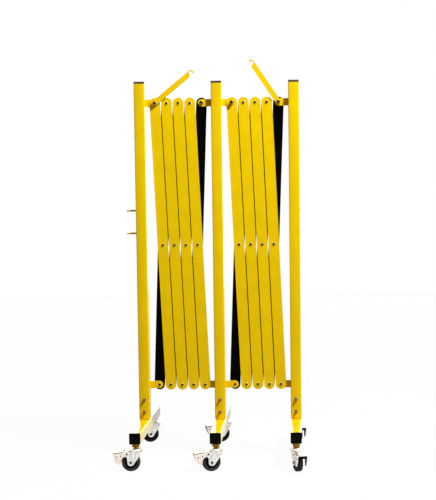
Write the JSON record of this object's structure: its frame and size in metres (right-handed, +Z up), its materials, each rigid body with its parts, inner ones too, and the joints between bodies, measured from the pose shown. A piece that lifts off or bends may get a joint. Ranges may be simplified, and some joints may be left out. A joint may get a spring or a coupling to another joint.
{
  "type": "expandable safety barrier",
  "caption": "Folding barrier with yellow and black scissor lattices between wheeled posts, with braked casters and latch hooks; folds flat and extends across an area.",
  "frame": {"origin": "on the floor, under the centre line of the middle post", "axes": "+X along the barrier from the post with the coupling pins to the post with the holes, +Y away from the side with the latch hooks, +Z up"},
  "size_m": [0.5239, 0.4471, 1.1172],
  "materials": {
    "yellow_paint": "glossy yellow powder coat",
    "black_paint": "glossy black powder coat",
    "black_plastic": "moulded black plastic",
    "grey_rubber": "matt dark grey rubber",
    "zinc_plate": "bright zinc plate"
  },
  "bodies": {
    "middle_upright": {"middle_post": "yellow_paint", "middle_post_cap": "black_plastic", "middle_foot": "yellow_paint", "middle_foot_front_plug": "black_plastic", "middle_foot_rear_plug": "black_plastic", "middle_top_strap": "yellow_paint"},
    "left_upright": {"left_post": "yellow_paint", "left_post_cap": "black_plastic", "left_foot": "yellow_paint", "left_foot_front_plug": "black_plastic", "left_foot_rear_plug": "black_plastic", "left_top_strap": "yellow_paint", "coupling_pins": "yellow_paint"},
    "right_upright": {"right_post": "yellow_paint", "right_post_cap": "black_plastic", "right_foot": "yellow_paint", "right_foot_front_plug": "black_plastic", "right_foot_rear_plug": "black_plastic", "right_top_strap": "yellow_paint"},
    "left_black_bar_1": {"left_black_bar_1": "black_paint"},
    "left_yellow_bar_1": {"left_yellow_bar_1": "yellow_paint"},
    "left_black_bar_2": {"left_black_bar_2": "black_paint"},
    "left_yellow_bar_2": {"left_yellow_bar_2": "yellow_paint"},
    "left_black_bar_3": {"left_black_bar_3": "black_paint"},
    "left_yellow_bar_3": {"left_yellow_bar_3": "yellow_paint"},
    "left_black_bar_4": {"left_black_bar_4": "black_paint"},
    "left_yellow_bar_4": {"left_yellow_bar_4": "yellow_paint"},
    "left_inner_sliding_strap": {"left_inner_sliding_strap": "yellow_paint"},
    "left_outer_sliding_strap": {"left_outer_sliding_strap": "yellow_paint"},
    "right_yellow_bar_1": {"right_yellow_bar_1": "yellow_paint"},
    "right_black_bar_1": {"right_black_bar_1": "black_paint"},
    "right_yellow_bar_2": {"right_yellow_bar_2": "yellow_paint"},
    "right_black_bar_2": {"right_black_bar_2": "black_paint"},
    "right_yellow_bar_3": {"right_yellow_bar_3": "yellow_paint"},
    "right_black_bar_3": {"right_black_bar_3": "black_paint"},
    "right_yellow_bar_4": {"right_yellow_bar_4": "yellow_paint"},
    "right_black_bar_4": {"right_black_bar_4": "black_paint"},
    "right_inner_sliding_strap": {"right_inner_sliding_strap": "yellow_paint"},
    "right_outer_sliding_strap": {"right_outer_sliding_strap": "yellow_paint"},
    "left_hook": {"left_latch_hook": "yellow_paint"},
    "right_hook": {"right_latch_hook": "yellow_paint"},
    "left_front_swivel": {"left_front_fork": "zinc_plate"},
    "left_front_wheel": {"left_front_wheel": "grey_rubber"},
    "left_front_pedal": {"left_front_brake_pedal": "zinc_plate"},
    "left_rear_swivel": {"left_rear_fork": "zinc_plate"},
    "left_rear_wheel": {"left_rear_wheel": "grey_rubber"},
    "left_rear_pedal": {"left_rear_brake_pedal": "zinc_plate"},
    "middle_front_swivel": {"middle_front_fork": "zinc_plate"},
    "middle_front_wheel": {"middle_front_wheel": "grey_rubber"},
    "middle_front_pedal": {"middle_front_brake_pedal": "zinc_plate"},
    "middle_rear_swivel": {"middle_rear_fork": "zinc_plate"},
    "middle_rear_wheel": {"middle_rear_wheel": "grey_rubber"},
    "middle_rear_pedal": {"middle_rear_brake_pedal": "zinc_plate"},
    "right_front_swivel": {"right_front_fork": "zinc_plate"},
    "right_front_wheel": {"right_front_wheel": "grey_rubber"},
    "right_front_pedal": {"right_front_brake_pedal": "zinc_plate"},
    "right_rear_swivel": {"right_rear_fork": "zinc_plate"},
    "right_rear_wheel": {"right_rear_wheel": "grey_rubber"},
    "right_rear_pedal": {"right_rear_brake_pedal": "zinc_plate"}
  },
  "joints": [
    {"name": "left_fold", "type": "hinge", "parent": "middle_upright", "child": "left_black_bar_1", "pos_m": [-0.0425, 0, 0.9998], "axis": [0, 1, 0], "range_deg": [0, 34.15]},
    {"name": "left_cross_pivot_1", "type": "hinge", "parent": "left_black_bar_1", "child": "left_yellow_bar_1", "pos_m": [-0.05885, 0, 0.60214], "axis": [0, 1, 0], "range_deg": [-68.59, 0.3]},
    {"name": "left_top_pivot_1", "type": "hinge", "parent": "left_yellow_bar_1", "child": "left_black_bar_2", "pos_m": [-0.0752, 0, 0.9998], "axis": [0, 1, 0], "range_deg": [-0.3, 68.59]},
    {"name": "left_cross_pivot_2", "type": "hinge", "parent": "left_black_bar_2", "child": "left_yellow_bar_2", "pos_m": [-0.09155, 0, 0.60214], "axis": [0, 1, 0], "range_deg": [-68.59, 0.3]},
    {"name": "left_top_pivot_2", "type": "hinge", "parent": "left_yellow_bar_2", "child": "left_black_bar_3", "pos_m": [-0.1079, 0, 0.9998], "axis": [0, 1, 0], "range_deg": [-0.3, 68.59]},
    {"name": "left_cross_pivot_3", "type": "hinge", "parent": "left_black_bar_3", "child": "left_yellow_bar_3", "pos_m": [-0.12425, 0, 0.60214], "axis": [0, 1, 0], "range_deg": [-68.59, 0.3]},
    {"name": "left_top_pivot_3", "type": "hinge", "parent": "left_yellow_bar_3", "child": "left_black_bar_4", "pos_m": [-0.1406, 0, 0.9998], "axis": [0, 1, 0], "range_deg": [-0.3, 68.59]},
    {"name": "left_cross_pivot_4", "type": "hinge", "parent": "left_black_bar_4", "child": "left_yellow_bar_4", "pos_m": [-0.15695, 0, 0.60214], "axis": [0, 1, 0], "range_deg": [-68.59, 0.3]},
    {"name": "left_post_pivot", "type": "hinge", "parent": "left_yellow_bar_4", "child": "left_upright", "pos_m": [-0.1733, 0, 0.9998], "axis": [0, 1, 0], "range_deg": [-0.3, 34.45]},
    {"name": "left_inner_strap_pivot", "type": "hinge", "parent": "left_yellow_bar_1", "child": "left_inner_sliding_strap", "pos_m": [-0.0425, 0, 0.20447], "axis": [0, 1, 0], "range_deg": [-0.3, 34.45]},
    {"name": "left_outer_strap_pivot", "type": "hinge", "parent": "left_black_bar_4", "child": "left_outer_sliding_strap", "pos_m": [-0.1733, 0, 0.20447], "axis": [0, 1, 0], "range_deg": [-34.45, 0.3]},
    {"name": "right_fold", "type": "hinge", "parent": "middle_upright", "child": "right_yellow_bar_1", "pos_m": [0.0425, 0, 0.9998], "axis": [0, -1, 0], "range_deg": [0, 34.15]},
    {"name": "right_cross_pivot_1", "type": "hinge", "parent": "right_yellow_bar_1", "child": "right_black_bar_1", "pos_m": [0.05885, 0, 0.60214], "axis": [0, -1, 0], "range_deg": [-68.59, 0.3]},
    {"name": "right_top_pivot_1", "type": "hinge", "parent": "right_black_bar_1", "child": "right_yellow_bar_2", "pos_m": [0.0752, 0, 0.9998], "axis": [0, -1, 0], "range_deg": [-0.3, 68.59]},
    {"name": "right_cross_pivot_2", "type": "hinge", "parent": "right_yellow_bar_2", "child": "right_black_bar_2", "pos_m": [0.09155, 0, 0.60214], "axis": [0, -1, 0], "range_deg": [-68.59, 0.3]},
    {"name": "right_top_pivot_2", "type": "hinge", "parent": "right_black_bar_2", "child": "right_yellow_bar_3", "pos_m": [0.1079, 0, 0.9998], "axis": [0, -1, 0], "range_deg": [-0.3, 68.59]},
    {"name": "right_cross_pivot_3", "type": "hinge", "parent": "right_yellow_bar_3", "child": "right_black_bar_3", "pos_m": [0.12425, 0, 0.60214], "axis": [0, -1, 0], "range_deg": [-68.59, 0.3]},
    {"name": "right_top_pivot_3", "type": "hinge", "parent": "right_black_bar_3", "child": "right_yellow_bar_4", "pos_m": [0.1406, 0, 0.9998], "axis": [0, -1, 0], "range_deg": [-0.3, 68.59]},
    {"name": "right_cross_pivot_4", "type": "hinge", "parent": "right_yellow_bar_4", "child": "right_black_bar_4", "pos_m": [0.15695, 0, 0.60214], "axis": [0, -1, 0], "range_deg": [-68.59, 0.3]},
    {"name": "right_post_pivot", "type": "hinge", "parent": "right_black_bar_4", "child": "right_upright", "pos_m": [0.1733, 0, 0.9998], "axis": [0, -1, 0], "range_deg": [-0.3, 34.45]},
    {"name": "right_inner_strap_pivot", "type": "hinge", "parent": "right_black_bar_1", "child": "right_inner_sliding_strap", "pos_m": [0.0425, 0, 0.20447], "axis": [0, -1, 0], "range_deg": [-0.3, 34.45]},
    {"name": "right_outer_strap_pivot", "type": "hinge", "parent": "right_yellow_bar_4", "child": "right_outer_sliding_strap", "pos_m": [0.1733, 0, 0.20447], "axis": [0, -1, 0], "range_deg": [-34.45, 0.3]},
    {"name": "left_hook_turn", "type": "hinge", "parent": "left_upright", "child": "left_hook", "pos_m": [-0.1733, 0, 0.9998], "axis": [0, 1, 0], "range_deg": [-40, 39]},
    {"name": "right_hook_turn", "type": "hinge", "parent": "right_upright", "child": "right_hook", "pos_m": [0.1733, 0, 0.9998], "axis": [0, -1, 0], "range_deg": [-40, 56]},
    {"name": "left_front_swivel_turn", "type": "hinge", "parent": "left_upright", "child": "left_front_swivel", "pos_m": [-0.2158, -0.183, 0.0755], "axis": [0, 0, 1], "continuous": true},
    {"name": "left_front_roll", "type": "hinge", "parent": "left_front_swivel", "child": "left_front_wheel", "pos_m": [-0.22879, -0.18345, 0.025], "axis": [0.0349, -0.9994, 0], "continuous": true},
    {"name": "left_front_pedal_press", "type": "hinge", "parent": "left_front_swivel", "child": "left_front_pedal", "pos_m": [-0.23879, -0.1838, 0.048], "axis": [0.0349, -0.9994, 0], "range_deg": [0, 10]},
    {"name": "left_rear_swivel_turn", "type": "hinge", "parent": "left_upright", "child": "left_rear_swivel", "pos_m": [-0.2158, 0.183, 0.0755], "axis": [0, 0, 1], "continuous": true},
    {"name": "left_rear_roll", "type": "hinge", "parent": "left_rear_swivel", "child": "left_rear_wheel", "pos_m": [-0.22823, 0.1792, 0.025], "axis": [0.2924, -0.9563, 0], "continuous": true},
    {"name": "left_rear_pedal_press", "type": "hinge", "parent": "left_rear_swivel", "child": "left_rear_pedal", "pos_m": [-0.2378, 0.17627, 0.048], "axis": [0.2924, -0.9563, 0], "range_deg": [0, 10]},
    {"name": "middle_front_swivel_turn", "type": "hinge", "parent": "middle_upright", "child": "middle_front_swivel", "pos_m": [0, -0.183, 0.0755], "axis": [0, 0, 1], "continuous": true},
    {"name": "middle_front_roll", "type": "hinge", "parent": "middle_front_swivel", "child": "middle_front_wheel", "pos_m": [-0.01256, -0.18637, 0.025], "axis": [0.2588, -0.9659, 0], "continuous": true},
    {"name": "middle_front_pedal_press", "type": "hinge", "parent": "middle_front_swivel", "child": "middle_front_pedal", "pos_m": [-0.02222, -0.18895, 0.048], "axis": [0.2588, -0.9659, 0], "range_deg": [0, 10]},
    {"name": "middle_rear_swivel_turn", "type": "hinge", "parent": "middle_upright", "child": "middle_rear_swivel", "pos_m": [0, 0.183, 0.0755], "axis": [0, 0, 1], "continuous": true},
    {"name": "middle_rear_roll", "type": "hinge", "parent": "middle_rear_swivel", "child": "middle_rear_wheel", "pos_m": [-0.01222, 0.17855, 0.025], "axis": [0.342, -0.9397, 0], "continuous": true},
    {"name": "middle_rear_pedal_press", "type": "hinge", "parent": "middle_rear_swivel", "child": "middle_rear_pedal", "pos_m": [-0.02161, 0.17513, 0.048], "axis": [0.342, -0.9397, 0], "range_deg": [0, 10]},
    {"name": "right_front_swivel_turn", "type": "hinge", "parent": "right_upright", "child": "right_front_swivel", "pos_m": [0.2158, -0.183, 0.0755], "axis": [0, 0, 1], "continuous": true},
    {"name": "right_front_roll", "type": "hinge", "parent": "right_front_swivel", "child": "right_front_wheel", "pos_m": [0.21938, -0.1955, 0.025], "axis": [0.9613, 0.2756, 0], "continuous": true},
    {"name": "right_front_pedal_press", "type": "hinge", "parent": "right_front_swivel", "child": "right_front_pedal", "pos_m": [0.22214, -0.20511, 0.048], "axis": [0.9613, 0.2756, 0], "range_deg": [0, 10]},
    {"name": "right_rear_swivel_turn", "type": "hinge", "parent": "right_upright", "child": "right_rear_swivel", "pos_m": [0.2158, 0.183, 0.0755], "axis": [0, 0, 1], "continuous": true},
    {"name": "right_rear_roll", "type": "hinge", "parent": "right_rear_swivel", "child": "right_rear_wheel", "pos_m": [0.21938, 0.1705, 0.025], "axis": [0.9613, 0.2756, 0], "continuous": true},
    {"name": "right_rear_pedal_press", "type": "hinge", "parent": "right_rear_swivel", "child": "right_rear_pedal", "pos_m": [0.22214, 0.16089, 0.048], "axis": [0.9613, 0.2756, 0], "range_deg": [0, 10]}
  ],
  "couplings": [
    {"joint": "left_cross_pivot_1", "follows": "left_fold", "ratio": -2},
    {"joint": "left_top_pivot_1", "follows": "left_fold", "ratio": 2},
    {"joint": "left_cross_pivot_2", "follows": "left_fold", "ratio": -2},
    {"joint": "left_top_pivot_2", "follows": "left_fold", "ratio": 2},
    {"joint": "left_cross_pivot_3", "follows": "left_fold", "ratio": -2},
    {"joint": "left_top_pivot_3", "follows": "left_fold", "ratio": 2},
    {"joint": "left_cross_pivot_4", "follows": "left_fold", "ratio": -2},
    {"joint": "left_post_pivot", "follows": "left_fold", "ratio": 1},
    {"joint": "left_inner_strap_pivot", "follows": "left_fold", "ratio": 1},
    {"joint": "left_outer_strap_pivot", "follows": "left_fold", "ratio": -1},
    {"joint": "right_cross_pivot_1", "follows": "right_fold", "ratio": -2},
    {"joint": "right_top_pivot_1", "follows": "right_fold", "ratio": 2},
    {"joint": "right_cross_pivot_2", "follows": "right_fold", "ratio": -2},
    {"joint": "right_top_pivot_2", "follows": "right_fold", "ratio": 2},
    {"joint": "right_cross_pivot_3", "follows": "right_fold", "ratio": -2},
    {"joint": "right_top_pivot_3", "follows": "right_fold", "ratio": 2},
    {"joint": "right_cross_pivot_4", "follows": "right_fold", "ratio": -2},
    {"joint": "right_post_pivot", "follows": "right_fold", "ratio": 1},
    {"joint": "right_inner_strap_pivot", "follows": "right_fold", "ratio": 1},
    {"joint": "right_outer_strap_pivot", "follows": "right_fold", "ratio": -1}
  ]
}
